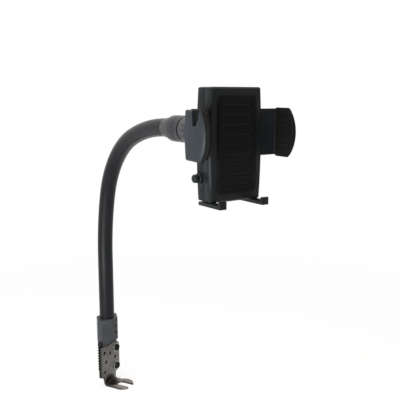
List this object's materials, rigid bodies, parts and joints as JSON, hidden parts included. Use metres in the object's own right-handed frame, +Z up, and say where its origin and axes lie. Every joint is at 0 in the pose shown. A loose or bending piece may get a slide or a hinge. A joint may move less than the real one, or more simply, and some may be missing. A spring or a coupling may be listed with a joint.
{
  "type": "seat rail phone mount",
  "caption": "Gooseneck phone mount for a seat rail: slotted steel foot, flexible neck, ball joint with clamping nut, and a spring cradle with padded sliding jaws, feet and a release button.",
  "frame": {"origin": "middle of the round end of the fork's bolt slot, on the fork's underside", "axes": "+Z up along the neck, -Y the way the cradle faces, +X to the right seen from the front of the cradle"},
  "size_m": [0.0912, 0.2874, 0.3504],
  "materials": {
    "bracket_steel": "satin",
    "black_steel": "satin",
    "zinc": "satin",
    "socket_paint": "satin",
    "core_steel": "satin",
    "neck_rubber": "satin",
    "ferrule_plastic": "satin",
    "black_plastic": "matt",
    "grey_plastic": "satin",
    "white_plastic": "satin",
    "pad_rubber": "matt",
    "spring_steel": "satin"
  },
  "bodies": {
    "bracket": {"foot_plate": "bracket_steel", "toothed_plate": "black_steel", "bracket_bolts": "black_steel", "bracket_nuts": "zinc", "bracket_washers": "zinc", "neck_socket": "socket_paint", "socket_screws": "black_steel", "neck_core": "core_steel", "neck_sleeve": "neck_rubber", "neck_ferrule": "ferrule_plastic", "ball_cup": "black_plastic"},
    "clamp_nut": {"ring_nut": "black_plastic"},
    "joint_screw": {"cup_screw": "black_steel"},
    "joint_ball": {"ball": "black_plastic", "ball_stud": "zinc", "stud_nut": "zinc"},
    "cradle": {"ball_plate": "black_plastic", "plate_screws": "black_steel", "rear_housing": "black_plastic", "front_housing": "black_plastic", "front_pad": "pad_rubber", "cover_screws": "black_steel", "pinion_pin": "spring_steel", "arm_spring": "spring_steel", "button_spring": "spring_steel", "pawl_pin": "spring_steel"},
    "left_jaw": {"left_arm": "grey_plastic", "left_jaw_pad": "pad_rubber"},
    "right_jaw": {"right_arm": "grey_plastic", "right_jaw_pad": "pad_rubber"},
    "pinion": {"drive_pinion": "white_plastic"},
    "button": {"release_button": "black_plastic"},
    "pawl": {"latch_pawl": "white_plastic"},
    "left_rest": {"left_foot": "black_plastic", "left_foot_pad": "pad_rubber"},
    "right_rest": {"right_foot": "black_plastic", "right_foot_pad": "pad_rubber"}
  },
  "joints": [
    {"name": "nut_turn", "type": "hinge", "parent": "bracket", "child": "clamp_nut", "pos_m": [-0.00818, -0.18821, 0.31379], "axis": [0, 1, 0], "range_deg": [-360, 0]},
    {"name": "cradle_roll", "type": "hinge", "parent": "bracket", "child": "joint_screw", "pos_m": [-0.00818, -0.18821, 0.31379], "axis": [0, 1, 0], "continuous": true},
    {"name": "cradle_tilt", "type": "hinge", "parent": "joint_screw", "child": "joint_ball", "pos_m": [-0.00818, -0.18821, 0.31379], "axis": [1, 0, 0], "range_deg": [-25, 25]},
    {"name": "cradle_swivel", "type": "hinge", "parent": "joint_ball", "child": "cradle", "pos_m": [-0.00818, -0.18821, 0.31379], "axis": [0, 1, 0], "continuous": true},
    {"name": "left_jaw_slide", "type": "slide", "parent": "cradle", "child": "left_jaw", "axis": [1, 0, 0], "range_m": [-0.007, 0.01]},
    {"name": "right_jaw_slide", "type": "slide", "parent": "cradle", "child": "right_jaw", "axis": [-1, 0, 0], "range_m": [-0.007, 0.01]},
    {"name": "pinion_turn", "type": "hinge", "parent": "cradle", "child": "pinion", "pos_m": [-0.00818, -0.22921, 0.31379], "axis": [0, 1, 0], "range_deg": [-80.3, 114.7]},
    {"name": "button_press", "type": "slide", "parent": "cradle", "child": "button", "axis": [1, 0, 0], "range_m": [0, 0.003], "stiffness_N_per_m": 200, "deforming": ["button_spring"]},
    {"name": "pawl_turn", "type": "hinge", "parent": "cradle", "child": "pawl", "pos_m": [-0.01218, -0.22921, 0.28789], "axis": [0, 1, 0], "range_deg": [-21.6, 0]},
    {"name": "left_rest_slide", "type": "slide", "parent": "cradle", "child": "left_rest", "axis": [1, 0, 0], "range_m": [0, 0.01]},
    {"name": "right_rest_slide", "type": "slide", "parent": "cradle", "child": "right_rest", "axis": [-1, 0, 0], "range_m": [0, 0.01]}
  ],
  "couplings": [
    {"joint": "right_jaw_slide", "follows": "left_jaw_slide", "ratio": 1},
    {"joint": "pinion_turn", "follows": "left_jaw_slide", "rad_per_m": 200},
    {"joint": "pawl_turn", "follows": "button_press", "rad_per_m": -125}
  ]
}
